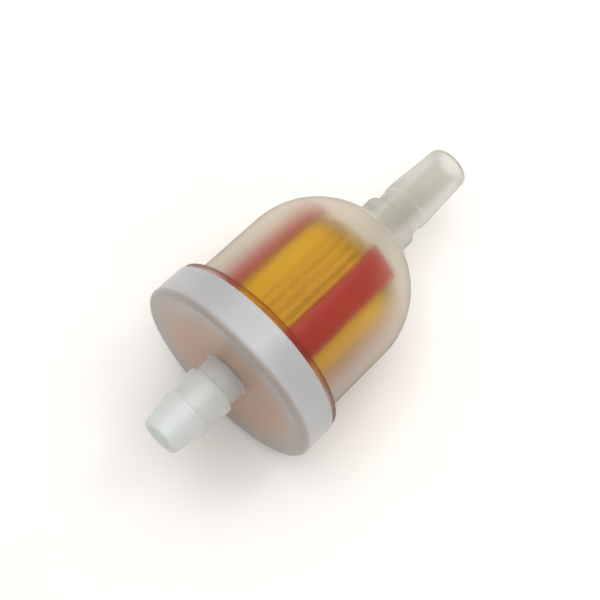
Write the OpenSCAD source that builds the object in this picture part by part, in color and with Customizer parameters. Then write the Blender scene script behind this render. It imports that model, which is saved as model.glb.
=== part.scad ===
// In-line fuel filter for a small engine.
// A hollow nylon cap and a domed nylon bowl are welded mouth to mouth, each with a moulded hose barb.
// A red four-rib cage, clamped in the joint, holds a pleated paper sleeve. Fuel enters through the cap,
// passes outwards through the paper and leaves through the dome.
// All profiles are drawn as [radius, station], with station 0 at the front face of the cap.

/* [Cap] */
// Outer diameter of the cap
cap_d = 27; // [26.8:0.1:30]
// Length of the cap along the flow axis
cap_len = 4.9; // [4.5:0.1:7]
// Radius of the rounded front edge
cap_edge = 0.7; // [0.4:0.1:1.5]
// Thickness of the front face at its edge
cap_face = 1.8; // [1.4:0.1:2.2]
// Depth of the shallow dish in the front face, at the root of the barb
cap_dish = 0.4; // [0:0.1:0.6]
// Diameter of the chamber inside the cap
cap_chamber_d = 21.2; // [20:0.1:21.6]

/* [Bowl] */
// Outer diameter of the bowl
bowl_d = 23.6; // [23.4:0.1:23.8]
// Wall thickness of the bowl
bowl_wall = 1.1; // [0.9:0.1:1.1]
// Straight length of the bowl, from the cap to the start of the dome
bowl_straight = 12; // [12:0.1:14]
// Diameter of the flange that is welded to the cap
flange_d = 26.6; // [26.2:0.1:26.7]
// Thickness of the flange
flange_t = 0.9; // [0.7:0.1:1.2]

/* [Inlet barb] */
// Length of the inlet barb, from its tip to the face of the cap
inlet_len = 11; // [10:0.1:12]
// Diameter over the crest nearest the cap
inlet_crest_d = 7; // [6.8:0.1:7.4]
// Diameter over the crest nearest the tip
inlet_lead_d = 6.7; // [6.4:0.1:6.8]
// Diameter of the tip
inlet_tip_d = 5.1; // [4.8:0.1:5.6]

/* [Outlet barb] */
// Diameter of the collar on the dome
collar_d = 7.9; // [7.4:0.1:9]
// Length of the collar, from the top of the dome
collar_len = 2.4; // [1.5:0.1:3]
// Length of the plain neck between the collar and the crest
outlet_neck = 2.7; // [2:0.1:3.5]
// Diameter over the crest
outlet_crest_d = 6.9; // [6.6:0.1:7.4]
// Diameter of the tip
outlet_tip_d = 6; // [5.4:0.1:6.4]
// Length from the back of the crest to the tip
outlet_lead = 9.2; // [8:0.1:11]

/* [Flow path] */
// Diameter of the bore through both barbs
bore_d = 3.6; // [3:0.1:4]

/* [Element] */
// Number of ribs on the cage
rib_count = 4; // [3:1:6]
// Width of each rib
rib_w = 4.7; // [3:0.1:5.5]
// Turn of the first rib about the flow axis
rib_turn = 35; // [0:1:89]
// Outer diameter over the ribs at the base of the cage
rib_base_d = 19.6; // [19:0.1:20]
// Outer diameter over the ribs at the far end of the cage
rib_end_d = 18; // [17.6:0.1:18]
// Length of the cage, from its flange to its far end
cage_len = 18.6; // [17:0.1:18.7]
// Number of pleats in the paper
pleat_count = 36; // [20:1:40]
// Thickness of the paper
paper_t = 0.3; // [0.25:0.05:0.4]

/* [Hidden] */
$fn = 96;

// Stations along the flow axis
flange_front = cap_len;
dome_start = cap_len + bowl_straight;
dome_r = bowl_d / 2;
dome_top = dome_start + dome_r;
collar_end = dome_top + collar_len;
outlet_crest = collar_end + outlet_neck;
outlet_end = outlet_crest + outlet_lead;
middle = (outlet_end - inlet_len) / 2;

// Joint between the cap, the bowl and the cage
slip = 0.05;
rebate_depth = 0.7;
clamp_front = cap_len - rebate_depth;
cage_flange_t = 1;
clamp_back = clamp_front + cage_flange_t;
cage_flange_r = 11.4;
mouth_in = cage_flange_r + slip;
tongue_r = 11.95;
rebate_r = tongue_r + 2 * slip;
weld_r = [12.45, 12.95];
weld_depth = 0.5;

// Radii shared by both mouldings
cap_r = cap_d / 2;
chamber_r = cap_chamber_d / 2;
flange_r = flange_d / 2;
bowl_in = dome_r - bowl_wall;
bore_r = bore_d / 2;
barb_land = 1;
barb_back = 0.15;
tip_round = 0.35;
inner_round = 0.8;
bore_flare = 0.8;
flange_round = 0.3;
wall_round = 0.5;

// Inlet barb
inlet_r = inlet_crest_d / 2;
lead_r = inlet_lead_d / 2;
inlet_tip_r = inlet_tip_d / 2;
inlet_neck_r = 3;
inlet_neck = 2.3;
inlet_waist_r = 2.85;
inlet_waist = 6.3;
lead_land = 0.4;
root_round = 0.4;

// Outlet barb
collar_r = collar_d / 2;
collar_round = 0.4;
outlet_neck_r = 3.2;
outlet_r = outlet_crest_d / 2;
outlet_tip_r = outlet_tip_d / 2;

// Element
rib_in = 8.35;
rib_base_r = rib_base_d / 2;
rib_end_r = rib_end_d / 2;
rib_round = 0.6;
rib_sink = 0.3;
rib_start = clamp_back - rib_sink;
cage_end = clamp_front + cage_len;
mouth_ring_t = 0.6;
mouth_ring_lip = 0.3;
mouth_ring_r = rib_base_r + mouth_ring_lip;
core_r = 5.2;
spider_t = 0.4;
spider_hub_r = 3.2;
plate_t = 1;
glue_t = 0.4;
pleat_out = 8.15;
pleat_in = 5.7;
fold_flat = 0.3;
seam_depth = 0.6;
glue_out = rib_in - slip;
plate_back = cage_end - spider_t;
plate_front = plate_back - plate_t;
paper_front = clamp_back + glue_t;
paper_back = plate_front - glue_t;

// Points of an arc about c, from angle a0 to angle a1
function arc(c, r, a0, a1, steps = 6) =
    [for (i = [0:steps]) let (a = a0 + (a1 - a0) * i / steps) c + r * [cos(a), sin(a)]];

// Turns a [radius, station] profile about the flow axis, with the middle of the filter at the origin
module turned(profile) {
    translate([-middle, 0, 0])
        rotate([0, 90, 0])
            rotate_extrude()
                polygon(profile);
}

// Plain ring or disc about the flow axis, from station s0 to station s1
module ring(r_in, r_out, s0, s1) {
    turned([[r_in, s0], [r_out, s0], [r_out, s1], [r_in, s1]]);
}

// Solid disc about the flow axis, from station s0 to station s1
module disc(r, s0, s1) {
    translate([s0 - middle, 0, 0])
        rotate([0, 90, 0])
            cylinder(h = s1 - s0, r = r);
}

// Cap: front face, side wall and two-crest hose barb in one moulding
module inlet_cap() {
    tip = concat(
        [[bore_r, -inlet_len]],
        arc([inlet_tip_r - tip_round, -inlet_len + tip_round], tip_round, -90, 0)
    );
    barb = [
        [lead_r, -inlet_waist - lead_land],
        [lead_r, -inlet_waist],
        [inlet_waist_r, -inlet_waist + barb_back],
        [inlet_r, -inlet_neck - barb_land],
        [inlet_r, -inlet_neck],
        [inlet_neck_r, -inlet_neck + barb_back]
    ];
    root = arc([inlet_neck_r + root_round, cap_dish - root_round], root_round, 180, 90);
    face = arc([cap_r - cap_edge, cap_edge], cap_edge, -90, 0, 10);
    back = [
        [cap_r, cap_len],
        [weld_r[1], cap_len],
        [weld_r[1], cap_len - weld_depth],
        [weld_r[0], cap_len - weld_depth],
        [weld_r[0], cap_len],
        [rebate_r, cap_len],
        [rebate_r, clamp_front],
        [chamber_r, clamp_front]
    ];
    inside = concat(
        arc([chamber_r - inner_round, cap_face + inner_round], inner_round, 0, -90),
        [[bore_r + bore_flare, cap_face], [bore_r, cap_face - bore_flare]]
    );
    color([0.80, 0.81, 0.82, 0.6])
        turned(concat(tip, barb, root, face, back, inside));
}

// Bowl: welded flange, straight wall, dome and outlet tube in one moulding
module bowl() {
    dome_out = asin(collar_r / dome_r);
    dome_in = asin((bore_r + bore_flare) / bowl_in);
    mouth = [
        [mouth_in, clamp_front],
        [tongue_r, clamp_front],
        [tongue_r, flange_front],
        [flange_r, flange_front]
    ];
    flange_back = flange_front + flange_t;
    flange = concat(
        arc([flange_r - flange_round, flange_back - flange_round], flange_round, 0, 90),
        arc([dome_r + wall_round, flange_back + wall_round], wall_round, -90, -180)
    );
    dome = arc([0, dome_start], dome_r, 0, 90 - dome_out, 24);
    collar = arc([collar_r - collar_round, collar_end - collar_round], collar_round, 0, 90);
    barb = [
        [outlet_neck_r, collar_end],
        [outlet_neck_r, outlet_crest - barb_back],
        [outlet_r, outlet_crest],
        [outlet_r, outlet_crest + barb_land]
    ];
    tip = arc([outlet_tip_r - tip_round, outlet_end - tip_round], tip_round, 0, 90);
    bore = [
        [bore_r, outlet_end],
        [bore_r, dome_start + bowl_in + bore_flare]
    ];
    inside = arc([0, dome_start], bowl_in, 90 - dome_in, 0, 24);
    seat = [
        [bowl_in, clamp_back],
        [mouth_in, clamp_back]
    ];
    color([0.80, 0.79, 0.76, 0.45])
        turned(concat(mouth, flange, dome, collar, barb, tip, bore, inside, seat));
}

// Ring of melted nylon that fills the groove in the back of the cap and holds the flange
module weld_ring() {
    color([0.85, 0.85, 0.84, 0.8])
        ring(weld_r[0], weld_r[1], cap_len - weld_depth, cap_len);
}

// Red cage: clamped base flange, low mouth ring, lengthwise ribs and a thin cross over the far end
module element_cage() {
    flange = [
        [core_r, clamp_front],
        [cage_flange_r, clamp_front],
        [cage_flange_r, clamp_back],
        [mouth_ring_r, clamp_back],
        [mouth_ring_r, clamp_back + mouth_ring_t],
        [rib_in, clamp_back + mouth_ring_t],
        [rib_in, clamp_back],
        [core_r, clamp_back]
    ];
    basket = concat(
        [[0, plate_back], [rib_in, plate_back], [rib_in, rib_start], [rib_base_r, rib_start]],
        arc([rib_end_r - rib_round, cage_end - rib_round], rib_round, 0, 90),
        [[0, cage_end]]
    );
    color([0.72, 0.13, 0.10]) {
        turned(flange);
        intersection() {
            turned(basket);
            union() {
                for (i = [0:rib_count - 1])
                    rotate([rib_turn + i * 360 / rib_count, 0, 0])
                        translate([clamp_front - middle, -rib_w / 2, -dome_r])
                            cube([dome_top - clamp_front, rib_w, dome_r]);
                disc(spider_hub_r, clamp_front, dome_top);
            }
        }
    }
}

// Unit direction at angle a
function dir(a) = [cos(a), sin(a)];

// Half angles of an outer fold, of an inner fold and of the gap between the legs of a pleat
function outer_half() = asin((fold_flat + paper_t) / 2 / pleat_out);
function inner_half() = asin((fold_flat + paper_t) / 2 / pleat_in);
function gap_half() = 180 / pleat_count - inner_half();

// Solid along the paper sleeve, from a flat outline
module along_sleeve() {
    translate([paper_front - middle, 0, 0])
        rotate([0, 90, 0])
            linear_extrude(paper_back - paper_front)
                children();
}

// Pleated paper sleeve, folded into pleat_count even pleats
module filter_paper() {
    pitch = 360 / pleat_count;
    valley = gap_half() + inner_half() / 2;
    outer = [for (i = [0:pleat_count - 1]) each [
        pleat_out * dir(i * pitch - outer_half()),
        pleat_out * dir(i * pitch + outer_half()),
        (pleat_in + paper_t) * dir(i * pitch + valley),
        (pleat_in + paper_t) * dir((i + 1) * pitch - valley)
    ]];
    inner = [for (i = [0:pleat_count - 1]) each [
        (pleat_out - paper_t) * dir(i * pitch - outer_half() / 3),
        (pleat_out - paper_t) * dir(i * pitch + outer_half() / 3),
        pleat_in * dir(i * pitch + gap_half()),
        pleat_in * dir((i + 1) * pitch - gap_half())
    ]];
    color([0.86, 0.62, 0.12])
        along_sleeve()
            difference() {
                polygon(outer);
                polygon(inner);
            }
}

// Line of adhesive inside the first pleat, which closes the sleeve lengthwise
module seam_glue() {
    fold = (pleat_out - paper_t) * dir(outer_half() / 3);
    core = pleat_in * dir(gap_half());
    deep = fold + (core - fold) * seam_depth;
    color([0.80, 0.70, 0.45])
        along_sleeve()
            polygon([fold, deep, [deep[0], -deep[1]], [fold[0], -fold[1]]]);
}

// Bed of adhesive between the paper and the base of the cage
module base_glue() {
    color([0.85, 0.78, 0.62])
        ring(core_r, glue_out, clamp_back, paper_front);
}

// Bed of adhesive between the paper and the end plate
module end_glue() {
    color([0.85, 0.78, 0.62])
        ring(core_r, glue_out, paper_back, plate_front);
}

// Brown plate that closes the far end of the sleeve, under the cross of the cage
module end_plate() {
    color([0.66, 0.54, 0.34])
        disc(glue_out, plate_front, plate_back);
}

inlet_cap();
bowl();
weld_ring();
element_cage();
filter_paper();
seam_glue();
base_glue();
end_glue();
end_plate();
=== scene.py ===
import math
import random

import bmesh
import bpy
import numpy as np
from mathutils import Matrix, Vector


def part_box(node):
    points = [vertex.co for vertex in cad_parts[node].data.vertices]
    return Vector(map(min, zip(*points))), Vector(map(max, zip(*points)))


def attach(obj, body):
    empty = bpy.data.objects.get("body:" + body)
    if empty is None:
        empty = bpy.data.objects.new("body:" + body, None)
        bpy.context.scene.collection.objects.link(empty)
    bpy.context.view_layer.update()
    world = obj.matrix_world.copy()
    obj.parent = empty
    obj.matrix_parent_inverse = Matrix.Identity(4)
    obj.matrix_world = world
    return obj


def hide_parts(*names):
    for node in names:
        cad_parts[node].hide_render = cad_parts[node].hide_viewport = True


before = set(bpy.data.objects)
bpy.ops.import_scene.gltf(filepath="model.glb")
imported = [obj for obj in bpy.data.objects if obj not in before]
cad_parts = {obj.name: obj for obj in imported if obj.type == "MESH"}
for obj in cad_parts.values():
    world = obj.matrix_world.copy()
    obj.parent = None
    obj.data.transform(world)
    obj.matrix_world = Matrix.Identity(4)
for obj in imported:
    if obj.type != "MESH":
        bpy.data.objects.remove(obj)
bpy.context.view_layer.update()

MM = 0.001

# Stations along the flow axis are in millimetres from the front face of the cap, as in the CAD model.
CAP_LENGTH = 4.9
FACE_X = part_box("inlet_cap")[1].x - CAP_LENGTH * MM
GAP = 0.03  # air between touching clear pieces, so that their faces don't coincide
TURN_STEPS = 192

# How the filter lies: on the back rim of its cap and on its dome, so the floor leans to the flow axis.
CAP_RADIUS = 13.5
DOME_RADIUS = 11.8
DOME_STATION = 16.9

# Sizes that more than one piece uses, in millimetres.
BORE_RADIUS = 1.8
JOINT_STATION = 4.2  # where the bowl's tongue and the cage's flange meet the cap
CLAMP_BACK = 5.2  # far face of the cage's flange
WELD_FRONT, WELD_BACK = 4.4, CAP_LENGTH
WELD_INNER, WELD_OUTER = 12.45, 12.95
PLATE_FRONT = 21.4  # also the far side of the adhesive bed under the plate


def station_x(station):
    """X of a station, in metres."""
    return FACE_X + station * MM


def rest_lean():
    """Angle between the flow axis and the floor that the cap's rim and the dome both touch."""
    along = DOME_STATION - CAP_LENGTH
    reach = math.hypot(along, CAP_RADIUS)
    return math.acos(DOME_RADIUS / reach) - math.atan2(along, CAP_RADIUS)


LEAN = rest_lean()
UP = Vector((-math.sin(LEAN), 0, math.cos(LEAN)))
ALONG = Vector((math.cos(LEAN), 0, math.sin(LEAN)))
ACROSS = Vector((0, 1, 0))


# ---------------------------------------------------------------- mesh helpers

def link(name, mesh):
    """Puts a mesh into the scene as an object."""
    piece = bpy.data.objects.new(name, mesh)
    bpy.context.scene.collection.objects.link(piece)
    return piece


def fillet(corners, steps=6):
    """Points of a closed outline whose corners (station, radius, rounding) are rounded by arcs."""
    out = []
    count = len(corners)
    for i, (s, r, rounding) in enumerate(corners):
        here = np.array((s, r), float)
        before = np.array(corners[i - 1][:2], float)
        after = np.array(corners[(i + 1) % count][:2], float)
        if rounding <= 0:
            out.append(tuple(here))
            continue
        a = (before - here) / np.linalg.norm(before - here)
        b = (after - here) / np.linalg.norm(after - here)
        half = math.acos(float(np.clip(a @ b, -1, 1))) / 2
        if half > math.radians(88):
            out.append(tuple(here))
            continue
        room = 0.48 * min(np.linalg.norm(before - here), np.linalg.norm(after - here))
        leg = min(rounding / math.tan(half), room)
        radius = leg * math.tan(half)
        middle = (a + b) / np.linalg.norm(a + b)
        centre = here + middle * radius / math.sin(half)
        start = here + a * leg - centre
        end = here + b * leg - centre
        a0 = math.atan2(start[1], start[0])
        turn = (math.atan2(end[1], end[0]) - a0 + math.pi) % (2 * math.pi) - math.pi
        for k in range(steps + 1):
            angle = a0 + turn * k / steps
            out.append((centre[0] + radius * math.cos(angle), centre[1] + radius * math.sin(angle)))
    return out


def arc(centre_s, radius, a0, a1, steps):
    """Corners along an arc about a point on the axis; angle 0 is straight out, 90 is along the axis."""
    out = []
    for k in range(steps + 1):
        angle = math.radians(a0 + (a1 - a0) * k / steps)
        out.append((centre_s + radius * math.sin(angle), radius * math.cos(angle), 0))
    return out


def long_spans_cut(points, longest=0.6):
    """The same closed outline with its long straight spans cut into shorter ones."""
    out = []
    for i, p in enumerate(points):
        q = points[(i + 1) % len(points)]
        cuts = max(1, math.ceil(math.dist(p, q) / longest))
        out += [(p[0] + (q[0] - p[0]) * k / cuts, p[1] + (q[1] - p[1]) * k / cuts) for k in range(cuts)]
    return out


def turned(name, outline, steps=TURN_STEPS, wave=None):
    """A solid of revolution about the flow axis.

    wave(station, radius, angle) is how far a point's radius is moved, in millimetres.
    """
    points = long_spans_cut(outline)
    rows = []
    for k in range(steps):
        angle = 2 * math.pi * k / steps
        for s, r in points:
            radius = r + (wave(s, r, angle) if wave else 0)
            rows.append((station_x(s), radius * MM * math.sin(angle), radius * MM * math.cos(angle)))
    count = len(points)
    faces = []
    for k in range(steps):
        for i in range(count):
            j = (i + 1) % count
            n = (k + 1) % steps
            faces.append((k * count + i, n * count + i, n * count + j, k * count + j))
    mesh = bpy.data.meshes.new(name)
    mesh.from_pydata(rows, [], faces)
    finish_mesh(mesh)
    return link(name, mesh)


def finish_mesh(mesh, angle=35):
    """Outward faces, smooth where the surface is smooth."""
    bm = bmesh.new()
    bm.from_mesh(mesh)
    bmesh.ops.remove_doubles(bm, verts=bm.verts, dist=1e-7)
    bmesh.ops.delete(bm, geom=[v for v in bm.verts if not v.link_faces], context="VERTS")
    bmesh.ops.recalc_face_normals(bm, faces=bm.faces)
    bm.to_mesh(mesh)
    bm.free()
    mesh.polygons.foreach_set("use_smooth", [True] * len(mesh.polygons))
    mesh.set_sharp_from_angle(angle=math.radians(angle))
    mesh.update()


# ---------------------------------------------------------------- materials

def material(name):
    """A new material with its nodes, its links and its main shader."""
    mat = bpy.data.materials.new(name)
    mat.use_nodes = True
    nodes = mat.node_tree.nodes
    return mat, nodes, mat.node_tree.links, nodes["Principled BSDF"]


def noise(nodes, links, scale, detail=4.0, rough=0.6, stretch=None):
    """Noise in object space; scale is in features per metre."""
    coords = nodes.new("ShaderNodeTexCoord")
    tex = nodes.new("ShaderNodeTexNoise")
    tex.inputs["Scale"].default_value = scale
    tex.inputs["Detail"].default_value = detail
    tex.inputs["Roughness"].default_value = rough
    if stretch:
        mapping = nodes.new("ShaderNodeMapping")
        mapping.inputs["Scale"].default_value = stretch
        links.new(coords.outputs["Object"], mapping.inputs["Vector"])
        links.new(mapping.outputs["Vector"], tex.inputs["Vector"])
    else:
        links.new(coords.outputs["Object"], tex.inputs["Vector"])
    return tex


def ramp(nodes, links, source, stops):
    """Colour ramp over a socket; stops is a list of (place, colour)."""
    node = nodes.new("ShaderNodeValToRGB")
    links.new(source, node.inputs["Fac"])
    elements = node.color_ramp.elements
    while len(elements) < len(stops):
        elements.new(0.5)
    for element, (place, colour) in zip(elements, stops):
        element.position = place
        element.color = (*colour, 1)
    return node


def spread(nodes, links, source, low, high):
    """Socket that carries a value of 0 to 1 over to the range from low to high."""
    node = nodes.new("ShaderNodeMapRange")
    node.inputs["To Min"].default_value = low
    node.inputs["To Max"].default_value = high
    links.new(source, node.inputs["Value"])
    return node.outputs["Result"]


def bump(nodes, links, shader, heights):
    """A chain of bumps; heights is a list of (height socket, strength, depth in metres)."""
    last = None
    for socket, strength, depth in heights:
        node = nodes.new("ShaderNodeBump")
        node.inputs["Strength"].default_value = strength
        node.inputs["Distance"].default_value = depth
        links.new(socket, node.inputs["Height"])
        if last:
            links.new(last, node.inputs["Normal"])
        last = node.outputs["Normal"]
    links.new(last, shader.inputs["Normal"])


def station_and_radius(nodes, links):
    """Sockets with a point's station and its distance from the flow axis, both in millimetres."""
    coords = nodes.new("ShaderNodeTexCoord")
    split = nodes.new("ShaderNodeSeparateXYZ")
    links.new(coords.outputs["Object"], split.inputs["Vector"])
    station = nodes.new("ShaderNodeMapRange")
    station.clamp = False
    station.inputs["From Min"].default_value = FACE_X
    station.inputs["From Max"].default_value = FACE_X + MM
    links.new(split.outputs["X"], station.inputs["Value"])
    across = nodes.new("ShaderNodeVectorMath")
    across.operation = "MULTIPLY"
    across.inputs[1].default_value = (0, 1 / MM, 1 / MM)
    links.new(coords.outputs["Object"], across.inputs[0])
    radius = nodes.new("ShaderNodeVectorMath")
    radius.operation = "LENGTH"
    links.new(across.outputs["Vector"], radius.inputs[0])
    return station.outputs["Result"], radius.outputs["Value"]


def smooth_step(nodes, links, source, start, end):
    """Rises smoothly from 0 at start to 1 at end, or falls if end comes first."""
    node = nodes.new("ShaderNodeMapRange")
    node.interpolation_type = "SMOOTHSTEP"
    node.inputs["From Min"].default_value = min(start, end)
    node.inputs["From Max"].default_value = max(start, end)
    if start > end:
        node.inputs["To Min"].default_value = 1
        node.inputs["To Max"].default_value = 0
    links.new(source, node.inputs["Value"])
    return node.outputs["Result"]


def product(nodes, links, factors):
    """Socket with the product of several sockets."""
    last = factors[0]
    for factor in factors[1:]:
        node = nodes.new("ShaderNodeMath")
        node.operation = "MULTIPLY"
        links.new(last, node.inputs[0])
        links.new(factor, node.inputs[1])
        last = node.outputs[0]
    return last


def mix_colour(nodes, links, a, b, factor, blend="MIX"):
    """Colour socket; a and b are colours or colour sockets, factor is a socket or a number."""
    node = nodes.new("ShaderNodeMix")
    node.data_type = "RGBA"
    node.blend_type = blend
    for name, value in (("A_Color", a), ("B_Color", b), ("Factor_Float", factor)):
        socket = next(x for x in node.inputs if x.identifier == name)
        if isinstance(value, bpy.types.NodeSocket):
            links.new(value, socket)
        else:
            socket.default_value = (*value, 1) if isinstance(value, tuple) else value
    return next(x for x in node.outputs if x.identifier == "Result_Color")


def nylon(name, tint, zones, clear, index, rough, sheen=(0.0, 0.4), coat=0.0):
    """Milky moulded nylon: rough glass with cloudy flow marks and a satin grain.

    Each zone is a colour with the steps (axis, start, end) that bound it; some are the nylon's own tint,
    others painted light and shade. clear is the transmission weight, rough the least and greatest roughness,
    and sheen a weight with its roughness.
    """
    mat, nodes, links, shader = material(name)
    cloud = noise(nodes, links, 120, 3, 0.5, (0.35, 1, 1))
    grain = noise(nodes, links, 5200, 2, 0.5)
    station, radius = station_and_radius(nodes, links)
    sources = {"station": station, "radius": radius}
    colour = tint
    for zone, steps in zones:
        mask = product(nodes, links, [smooth_step(nodes, links, sources[axis], a, b) for axis, a, b in steps])
        colour = mix_colour(nodes, links, colour, zone, mask)
    marks = ramp(nodes, links, cloud.outputs["Fac"], [(0.3, (0.93, 0.93, 0.93)), (0.7, (1, 1, 1))])
    colour = mix_colour(nodes, links, colour, marks.outputs["Color"], 1.0, "MULTIPLY")
    links.new(colour, shader.inputs["Base Color"])
    links.new(spread(nodes, links, cloud.outputs["Fac"], *rough), shader.inputs["Roughness"])
    shader.inputs["Transmission Weight"].default_value = clear
    shader.inputs["IOR"].default_value = index
    shader.inputs["Sheen Weight"].default_value = sheen[0]
    shader.inputs["Sheen Roughness"].default_value = sheen[1]
    shader.inputs["Coat Weight"].default_value = coat
    shader.inputs["Coat Roughness"].default_value = 0.16
    bump(nodes, links, shader, [(cloud.outputs["Fac"], 0.3, 0.00012), (grain.outputs["Fac"], 0.12, 0.00001)])
    return mat


def red_plastic():
    """Moulded red plastic with faint flow lines along the ribs."""
    mat, nodes, links, shader = material("red_plastic")
    flow = noise(nodes, links, 260, 4, 0.6, (0.25, 1, 1))
    grain = noise(nodes, links, 6000, 2, 0.5)
    stops = [(0.3, (0.42, 0.018, 0.010)), (0.7, (0.50, 0.026, 0.014))]
    colour = ramp(nodes, links, flow.outputs["Fac"], stops)
    links.new(colour.outputs["Color"], shader.inputs["Base Color"])
    links.new(spread(nodes, links, flow.outputs["Fac"], 0.34, 0.48), shader.inputs["Roughness"])
    bump(nodes, links, shader, [(flow.outputs["Fac"], 0.2, 0.00006), (grain.outputs["Fac"], 0.15, 0.00001)])
    return mat


def filter_paper_material():
    """Resin-treated paper: fibres, flecks and a dull, slightly uneven yellow."""
    mat, nodes, links, shader = material("yellow_paper")
    blotch = noise(nodes, links, 300, 4, 0.6)
    fibre = noise(nodes, links, 2600, 6, 0.75, (1, 0.35, 0.35))
    mixed = nodes.new("ShaderNodeMath")
    mixed.operation = "MULTIPLY_ADD"
    mixed.inputs[1].default_value = 0.45
    links.new(fibre.outputs["Fac"], mixed.inputs[0])
    links.new(blotch.outputs["Fac"], mixed.inputs[2])
    stops = [(0.45, (0.79, 0.48, 0.010)), (0.7, (0.87, 0.57, 0.014)), (0.95, (0.92, 0.65, 0.034))]
    colour = ramp(nodes, links, mixed.outputs[0], stops)
    links.new(colour.outputs["Color"], shader.inputs["Base Color"])
    links.new(spread(nodes, links, fibre.outputs["Fac"], 0.75, 0.95), shader.inputs["Roughness"])
    bump(nodes, links, shader, [(fibre.outputs["Fac"], 0.6, 0.00005)])
    return mat


def adhesive_material():
    """Set adhesive: amber, fairly glossy, with a flowed surface."""
    mat, nodes, links, shader = material("adhesive")
    flow = noise(nodes, links, 420, 4, 0.6)
    colour = ramp(nodes, links, flow.outputs["Fac"], [(0.3, (0.56, 0.40, 0.10)), (0.7, (0.66, 0.48, 0.15))])
    links.new(colour.outputs["Color"], shader.inputs["Base Color"])
    links.new(spread(nodes, links, flow.outputs["Fac"], 0.25, 0.45), shader.inputs["Roughness"])
    bump(nodes, links, shader, [(flow.outputs["Fac"], 0.4, 0.0001)])
    return mat


def plate_material():
    """Dull brown nylon of the closing plate."""
    mat, nodes, links, shader = material("natural_plate")
    flow = noise(nodes, links, 300, 4, 0.6)
    colour = ramp(nodes, links, flow.outputs["Fac"], [(0.3, (0.44, 0.29, 0.11)), (0.7, (0.54, 0.37, 0.15))])
    links.new(colour.outputs["Color"], shader.inputs["Base Color"])
    links.new(spread(nodes, links, flow.outputs["Fac"], 0.4, 0.6), shader.inputs["Roughness"])
    bump(nodes, links, shader, [(flow.outputs["Fac"], 0.3, 0.00008)])
    return mat


# ---------------------------------------------------------------- pieces

def place(piece, mat, slot, *nodes):
    """Gives a piece its material, puts it under the root body and hides the CAD nodes it replaces; slot is
    not used.
    """
    piece.data.materials.clear()
    piece.data.materials.append(mat)
    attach(piece, "root")
    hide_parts(*nodes)


def make_cap():
    """Cap moulding: barb tip and outer side first, then the joint and the chamber."""
    corners = [
        (-11, BORE_RADIUS, 0.15), (-11, 2.55, 0.4),
        (-6.7, 3.35, 0.15), (-6.3, 3.35, 0.12), (-6.15, 2.85, 0.12),
        (-3.3, 3.5, 0.5), (-2.3, 3.5, 0.15), (-2.15, 3.0, 0.12), (0.4, 3.0, 0.4),
        (0, CAP_RADIUS, 0.7), (CAP_LENGTH, CAP_RADIUS, 0.15),
        (WELD_BACK, WELD_OUTER, 0.05), (WELD_FRONT, WELD_OUTER, 0.05),
        (WELD_FRONT, WELD_INNER, 0.05), (WELD_BACK, WELD_INNER, 0.05),
        (CAP_LENGTH, 12.05, 0.05), (JOINT_STATION, 12.05, 0.05), (JOINT_STATION, 10.6, 0.1),
        (1.8, 10.6, 0.8), (1.8, 2.6, 0.3), (1.0, BORE_RADIUS, 0.2),
    ]
    return turned("cap_shell", fillet(corners))


def make_bowl():
    """Bowl moulding: mouth and flange, wall, dome, outlet tube, then back along the inside."""
    wall, collar_radius, flare_radius, tip = 1.1, 3.95, 2.6, 43
    bowl_in = DOME_RADIUS - wall
    base_turn = math.degrees(math.asin(collar_radius / DOME_RADIUS))
    flare_turn = math.degrees(math.asin(flare_radius / bowl_in))
    front = JOINT_STATION + GAP
    back = CAP_LENGTH + GAP
    corners = [(front, 11.45, 0.05), (front, 11.95, 0.1), (back, 11.95, 0.05), (back, 13.3, 0.2),
               (5.8, 13.3, 0.3), (5.8, DOME_RADIUS, 0.5)]
    corners += arc(DOME_STATION, DOME_RADIUS, 0, 90 - base_turn, 40)[:-1]
    corners += [(28.02, collar_radius, 0.5), (31.1, collar_radius, 0.4), (31.1, 3.2, 0.25),
                (33.65, 3.2, 0.12), (33.8, 3.45, 0.12), (34.8, 3.45, 0.6), (tip, 3.0, 0.4),
                (tip, BORE_RADIUS, 0.2), (28.4, BORE_RADIUS, 0.4)]
    corners += arc(DOME_STATION, bowl_in, 90 - flare_turn, 0, 40)
    corners += [(CLAMP_BACK, 10.7, 0.05), (CLAMP_BACK, 11.45, 0.05)]
    return turned("bowl_shell", fillet(corners))


def make_weld():
    """Ring of melted nylon that fills the groove between cap and bowl."""
    inner, outer = WELD_INNER + GAP, WELD_OUTER - GAP
    ring = [(WELD_FRONT + GAP, inner, 0.1), (WELD_FRONT + GAP, outer, 0.1),
            (WELD_BACK, outer, 0.05), (WELD_BACK, inner, 0.05)]
    return turned("weld_bead", fillet(ring), 96)


# The cage's ribs and the straps that form them, in millimetres.
RIB_TURN = math.radians(35)
RIB_COUNT = 4
RIB_WIDTH = 4.7
RIB_BASE_RADIUS, RIB_END_RADIUS = 9.8, 9.0
RIB_INNER_RADIUS = 8.35
STRAP_THICKNESS = 0.4
STRAP_START, STRAP_END = 4.7, 22.8
STRAP_BEND = 0.9


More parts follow.
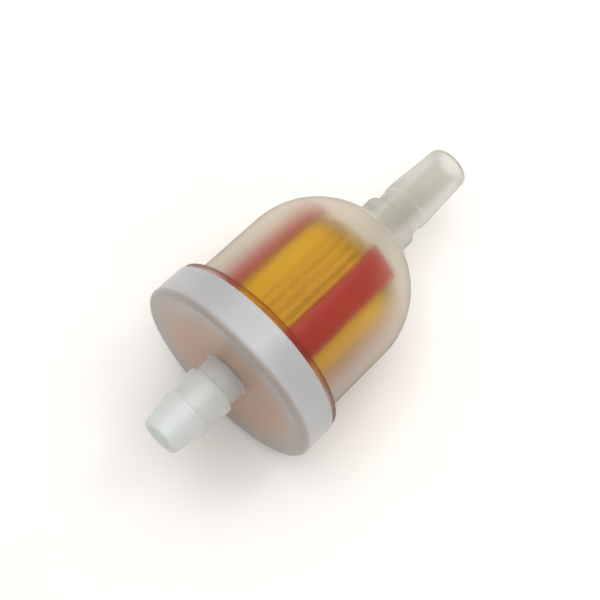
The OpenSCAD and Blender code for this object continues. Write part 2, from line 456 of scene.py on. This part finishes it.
def strap_path():
    """Points of a strap's outer side, each with a station, a radius, a turn and a swell.

    The turn is measured from straight out, and the swell is the strap's depth there in thicknesses.
    """
    rib_steps, bend_steps, top_steps = 24, 8, 12
    straight_end = STRAP_END - STRAP_BEND
    half = []
    for k in range(rib_steps + 1):
        f = k / rib_steps
        r = RIB_BASE_RADIUS + (RIB_END_RADIUS - RIB_BASE_RADIUS) * f
        swell = (r - RIB_INNER_RADIUS) / STRAP_THICKNESS
        half.append((STRAP_START + (straight_end - STRAP_START) * f, r, 0.0, swell))
    end_swell = (RIB_END_RADIUS - RIB_INNER_RADIUS) / STRAP_THICKNESS
    for k in range(1, bend_steps + 1):
        a = math.pi / 2 * k / bend_steps
        s = straight_end + STRAP_BEND * math.sin(a)
        r = RIB_END_RADIUS - STRAP_BEND + STRAP_BEND * math.cos(a)
        half.append((s, r, a, end_swell + (1 - end_swell) * k / bend_steps))
    for k in range(1, top_steps + 1):
        half.append((STRAP_END, (RIB_END_RADIUS - STRAP_BEND) * (1 - k / top_steps), math.pi / 2, 1))
    return half + [(s, -r, math.pi - a, swell) for s, r, a, swell in reversed(half[:-1])]


def strap(name, turn):
    """One U-shaped strap: up one rib, across the far end of the cage and down the opposite rib."""
    path = strap_path()
    edge = 0.22
    inner_edge = edge * 0.6
    w = RIB_WIDTH / 2
    ring = [(-w, 0, edge), (w, 0, edge),
            (w, -STRAP_THICKNESS, inner_edge), (-w, -STRAP_THICKNESS, inner_edge)]
    section = long_spans_cut(fillet(ring, steps=4), 0.5)
    verts, faces = [], []
    for s, r, a, swell in path:
        for v, depth in section:
            crown = math.sqrt(max(RIB_END_RADIUS ** 2 - v ** 2, 0)) - RIB_END_RADIUS
            out = depth * swell + crown * abs(math.cos(a))
            y, z = v, r + out * math.cos(a)
            x = s + out * math.sin(a)
            verts.append((station_x(x), y * MM, z * MM))
    n = len(section)
    for i in range(len(path) - 1):
        for j in range(n):
            k = (j + 1) % n
            faces.append((i * n + j, i * n + k, (i + 1) * n + k, (i + 1) * n + j))
    faces.append(tuple(range(n)))
    faces.append(tuple((len(path) - 1) * n + j for j in reversed(range(n))))
    mesh = bpy.data.meshes.new(name)
    mesh.from_pydata(verts, [], faces)
    mesh.transform(Matrix.Rotation(turn, 4, "X"))
    finish_mesh(mesh)
    return link(name, mesh)


def join_solid(target, tools):
    """Unites closed pieces into one closed mesh."""
    for tool in tools:
        mod = target.modifiers.new("unite", "BOOLEAN")
        mod.operation = "UNION"
        mod.solver = "MANIFOLD"
        mod.object = tool
    bpy.context.view_layer.update()
    graph = bpy.context.evaluated_depsgraph_get()
    mesh = bpy.data.meshes.new_from_object(target.evaluated_get(graph))
    target.modifiers.clear()
    target.data = mesh
    for tool in tools:
        bpy.data.objects.remove(tool)
    finish_mesh(target.data, 40)
    return target


def make_cage():
    """Base flange, low mouth ring and two crossed straps that form the four ribs."""
    front = JOINT_STATION + GAP
    back = CLAMP_BACK - GAP
    opening, flange_radius, mouth_radius, mouth_top = 5.2, 11.4, 10.1, 5.8
    ring = [(front, opening, 0.2), (front, flange_radius, 0.15), (back, flange_radius, 0.15),
            (back, mouth_radius, 0.2), (mouth_top, mouth_radius, 0.2), (mouth_top, RIB_INNER_RADIUS, 0.1),
            (back, RIB_INNER_RADIUS, 0.02), (back, opening, 0.15)]
    cage = turned("red_cage", fillet(ring), 144)
    straps = []
    for k in range(RIB_COUNT // 2):
        turn = RIB_TURN + k * 2 * math.pi / RIB_COUNT
        straps.append(strap(f"strap_{k}", turn))
    hub_front, hub_back, hub_radius = 22.45, 22.95, 3.2
    hub = [(hub_front, 0, 0), (hub_front, hub_radius, 0.1), (hub_back, hub_radius, 0.2), (hub_back, 0, 0)]
    hub = turned("hub", fillet(hub), 64)
    return join_solid(cage, straps + [hub])


def pleat_radius(phase, sharp=0.93):
    """Rounded zigzag between -1 and 1."""
    return math.asin(sharp * math.cos(phase)) / math.asin(sharp)


def make_paper():
    """Pleated sleeve with rounded folds, slightly uneven as folded paper is."""
    rng = random.Random(7)
    pleats, per_pleat, rings = 36, 16, 12
    outer, inner, thick = 8.0, 5.95, 0.26
    first, last = 5.6, 21.0
    out_by = [rng.uniform(-0.12, 0.10) for _ in range(pleats)]
    turn_by = [rng.uniform(-0.10, 0.10) for _ in range(pleats)]
    lean_by = [rng.uniform(-0.06, 0.06) for _ in range(pleats)]

    def midline(share):
        points = []
        for k in range(pleats * per_pleat):
            i = k // per_pleat
            f = k / per_pleat - i
            here, there = i % pleats, (i + 1) % pleats
            blend = f * f * (3 - 2 * f)
            out = out_by[here] * (1 - blend) + out_by[there] * blend
            turn = turn_by[here] * (1 - blend) + turn_by[there] * blend
            lean = lean_by[here] * (1 - blend) + lean_by[there] * blend
            wave = pleat_radius(2 * math.pi * f)
            r = (outer + inner) / 2 + (outer - inner) / 2 * wave + out * max(wave, 0)
            angle = 2 * math.pi / pleats * (k / per_pleat + turn + lean * math.sin(math.pi * share))
            points.append((r * math.cos(angle), r * math.sin(angle)))
        return np.array(points)

    verts, faces = [], []
    count = pleats * per_pleat
    for k in range(rings + 1):
        share = k / rings
        mid = midline(share)
        along = np.roll(mid, -1, 0) - np.roll(mid, 1, 0)
        along /= np.linalg.norm(along, axis=1)[:, None]
        side = np.stack([along[:, 1], -along[:, 0]], 1)
        x = station_x(first + (last - first) * share)
        for sign in (1, -1):
            skin = mid + side * sign * thick / 2
            verts += [(x, p[1] * MM, -p[0] * MM) for p in skin]
    for k in range(rings):
        for sheet in (0, 1):
            base, above = (2 * k + sheet) * count, (2 * k + 2 + sheet) * count
            for i in range(count):
                j = (i + 1) % count
                faces.append((base + i, base + j, above + j, above + i))
    for k in (0, rings):
        out, back = 2 * k * count, (2 * k + 1) * count
        faces += [(out + i, out + (i + 1) % count, back + (i + 1) % count, back + i) for i in range(count)]
    mesh = bpy.data.meshes.new("pleated_paper")
    mesh.from_pydata(verts, [], faces)
    finish_mesh(mesh, 50)
    return link("pleated_paper", mesh)


def make_glue(name, front, back, seed):
    """Bed of set adhesive with an uneven edge where it crept up the pleats."""
    rng = random.Random(seed)
    waves = [(rng.randint(3, 11), rng.uniform(0, 6.28), rng.uniform(0.01, 0.035)) for _ in range(6)]
    middle = 6.5

    def creep(s, r, angle):
        size = sum(depth * math.sin(count * angle + phase) for count, phase, depth in waves)
        return size * (1 if r > middle else -1)

    ring = [(front, 5.35, 0.15), (front, 8.2, 0.15), (back, 8.15, 0.15), (back, 5.4, 0.15)]
    return turned(name, fillet(ring), 144, creep)


def make_seam():
    """Line of adhesive squeezed between the legs of the closing pleat."""
    rng = random.Random(3)
    steps = 40
    first, length = 5.7, 15.2
    verts, faces = [], []
    section = [(-0.09, -7.6), (0.0, -7.72), (0.09, -7.6), (0.12, -6.9),
               (0.05, -6.6), (-0.05, -6.6), (-0.12, -6.9)]
    n = len(section)
    for k in range(steps + 1):
        swell = 1 + rng.uniform(-0.12, 0.12)
        x = station_x(first + length * k / steps)
        verts += [(x, y * swell * MM, z * MM) for y, z in section]
    for k in range(steps):
        for j in range(n):
            i = (j + 1) % n
            faces.append((k * n + j, k * n + i, (k + 1) * n + i, (k + 1) * n + j))
    faces += [tuple(range(n)), tuple(steps * n + j for j in reversed(range(n)))]
    mesh = bpy.data.meshes.new("seam_bead")
    mesh.from_pydata(verts, [], faces)
    finish_mesh(mesh)
    return link("seam_bead", mesh)


def make_plate():
    """Round plate that closes the far end of the sleeve."""
    thickness, radius = 1.0, 8.3
    front, back = PLATE_FRONT + GAP, PLATE_FRONT + thickness - GAP
    disc = [(front, 0, 0), (front, radius, 0.12), (back, radius, 0.35), (back, 0, 0)]
    return turned("closing_plate", fillet(disc), 96)


# ---------------------------------------------------------------- looks of the nylon

# Zones of another tint. On the face and the lip they are painted light and shade: red light from the cage
# that shows through the milky nylon, and shade on the face, which turns from the lamps.
# On the barb tube a paler tint, partly painted light; on the outlet tube, the nylon's own greyer look where
# nothing coloured lies behind it.
# Where the painted light and shade of the cap's face lie.
FACE_PAINT_LIMITS = [("station", -1.2, -0.8), ("station", 1.0, 0.5), ("radius", 3.05, 3.4)]
# Painted shade: the outer part of the cap's face, greyer and darker than the same nylon on the band.
FACE_EDGE_PAINTED_SHADE = ((0.60, 0.55, 0.51), FACE_PAINT_LIMITS)
# Painted light and shade: red-brown from the red cage shining through the face, darkened as the face turns
# from the lamps.
FACE_PAINTED_GLOW_AND_SHADE = ((0.74, 0.44, 0.27), FACE_PAINT_LIMITS + [("radius", 13.8, 7.5)])
# Paler barb tube: partly the thin nylon's own look, partly painted light.
BARB_TINT_AND_PAINTED_LIGHT = ((0.94, 0.97, 0.95), [("station", 0.1, -0.6)])
OUTLET_ZONE = ((0.78, 0.78, 0.74), [("station", 27.6, 29.4)])
# Painted light: red-brown light from the cage on the bowl's lip, just behind the cap.
LIP_PAINTED_RED_LIGHT = ((0.72, 0.52, 0.45), [("station", 6.3, 5.8), ("radius", 11.7, 12.2)])

cap_mat = nylon("cap_nylon", (0.80, 0.81, 0.82), [FACE_EDGE_PAINTED_SHADE, FACE_PAINTED_GLOW_AND_SHADE, BARB_TINT_AND_PAINTED_LIGHT],
                clear=0.55, index=1.45, rough=(0.30, 0.42), sheen=(0.1, 0.4), coat=0.2)
bowl_mat = nylon("bowl_nylon", (0.93, 0.88, 0.79), [OUTLET_ZONE, LIP_PAINTED_RED_LIGHT],
                 clear=1.0, index=1.2, rough=(0.45, 0.55), sheen=(0.05, 0.3))
weld_mat = nylon("weld_nylon", (0.76, 0.76, 0.74), [], clear=0.6, index=1.3, rough=(0.3, 0.4))
red_mat = red_plastic()
paper_mat = filter_paper_material()
glue_mat = adhesive_material()
plate_mat = plate_material()

place(make_cap(), cap_mat, "cap_nylon", "inlet_cap")
place(make_bowl(), bowl_mat, "bowl_nylon", "bowl")
place(make_weld(), weld_mat, "weld_nylon", "weld_ring")
place(make_cage(), red_mat, "red_plastic", "element_cage")
place(make_paper(), paper_mat, "yellow_paper", "filter_paper")
place(make_glue("base_bed", CLAMP_BACK, 5.75, 11), glue_mat, "adhesive", "base_glue")
place(make_glue("end_bed", 20.9, PLATE_FRONT, 12), glue_mat, "adhesive", "end_glue")
place(make_seam(), glue_mat, "adhesive", "seam_glue")
place(make_plate(), plate_mat, "natural_plate", "end_plate")


# ---------------------------------------------------------------- floor, light and camera

def floor_height():
    """How far the floor lies below the origin, along its own normal."""
    rim = Vector((station_x(CAP_LENGTH), 0, -CAP_RADIUS * MM))
    return rim.dot(UP)


def aim(obj, position, target, up):
    """Turns obj so that its -Z looks from position to target, with up upwards."""
    forward = (target - position).normalized()
    right = forward.cross(up).normalized()
    above = right.cross(forward)
    turn = Matrix((right, above, -forward)).transposed().to_4x4()
    obj.matrix_world = Matrix.Translation(position) @ turn


def make_floor():
    """Wide pale floor, laid so that the cap's rim and the dome touch it."""
    size = 3.0  # half its width, in metres
    mesh = bpy.data.meshes.new("floor")
    corners = [(-1, -1), (1, -1), (1, 1), (-1, 1)]
    centre = UP * floor_height()
    mesh.from_pydata([centre + (ALONG * a + ACROSS * b) * size for a, b in corners], [], [(0, 1, 2, 3)])
    floor = link("floor", mesh)
    mat, nodes, links, shader = material("pale_floor")
    mottle = noise(nodes, links, 40, 3, 0.5)
    colour = ramp(nodes, links, mottle.outputs["Fac"], [(0.3, (0.93, 0.90, 0.86)), (0.7, (0.95, 0.92, 0.88))])
    links.new(colour.outputs["Color"], shader.inputs["Base Color"])
    shader.inputs["Roughness"].default_value = 0.9
    shader.inputs["Specular IOR Level"].default_value = 0.2
    mesh.materials.append(mat)


def make_world(strength):
    """Even white surroundings."""
    world = bpy.data.worlds.new("soft_room")
    bpy.context.scene.world = world
    world.use_nodes = True
    background = world.node_tree.nodes["Background"]
    background.inputs["Color"].default_value = (1, 1, 1, 1)
    background.inputs["Strength"].default_value = strength


def soft_light(name, direction, size, watts):
    """Round lamp facing the origin; size is its diameter in metres."""
    lamp = bpy.data.lights.new(name, "AREA")
    lamp.shape = "DISK"
    lamp.size = size
    lamp.energy = watts
    obj = bpy.data.objects.new(name, lamp)
    bpy.context.scene.collection.objects.link(obj)
    aim(obj, direction.normalized() * LAMP_DISTANCE, Vector((0, 0, 0)), ACROSS)


# The lamps' distance from the origin and their diameters are in metres.
WORLD_STRENGTH = 0.46
LAMP_DISTANCE = 0.6
KEY_SIZE, KEY_WATTS = 0.8, 3.5
KEY_TILT = (0.12, 0.15)  # from straight above the floor, to the picture's right and top
GLINT_SIZE, GLINT_WATTS = 0.13, 0.25
GLINT_WAY = (0.485, 0.455, 0.747)  # to the picture's right, its top and the camera

# The camera's angles are to the floor and to the flow axis; its distance is in metres.
CAMERA_ELEVATION = math.radians(71.3)
CAMERA_TURN = math.radians(43.5)
CAMERA_DISTANCE = 0.1462
CAMERA_TARGET = (-1.671 * MM, 0.811 * MM)  # from the origin to the picture's centre: right, then down
CAMERA_LENS = 69


def make_camera():
    """Places the camera; returns the picture's right, its upward direction and the one towards the camera."""
    flat = ALONG * math.cos(CAMERA_TURN) + ACROSS * math.sin(CAMERA_TURN)
    forward = flat * math.cos(CAMERA_ELEVATION) - UP * math.sin(CAMERA_ELEVATION)
    right = forward.cross(UP).normalized()
    above = right.cross(forward)
    target = right * CAMERA_TARGET[0] - above * CAMERA_TARGET[1]
    lens = bpy.data.cameras.new("camera")
    lens.lens = CAMERA_LENS
    lens.sensor_width = 36
    lens.clip_start = 0.005
    camera = bpy.data.objects.new("camera", lens)
    bpy.context.scene.collection.objects.link(camera)
    aim(camera, target - forward * CAMERA_DISTANCE, target, UP)
    bpy.context.scene.camera = camera
    return right, above, -forward


make_floor()
make_world(WORLD_STRENGTH)
RIGHT, ABOVE, TOWARDS = make_camera()
key_way = UP + RIGHT * KEY_TILT[0] + ABOVE * KEY_TILT[1]
glint_way = RIGHT * GLINT_WAY[0] + ABOVE * GLINT_WAY[1] + TOWARDS * GLINT_WAY[2]
soft_light("key", key_way, KEY_SIZE, KEY_WATTS)
soft_light("glint", glint_way, GLINT_SIZE, GLINT_WATTS)
bpy.context.scene.view_settings.view_transform = "Standard"
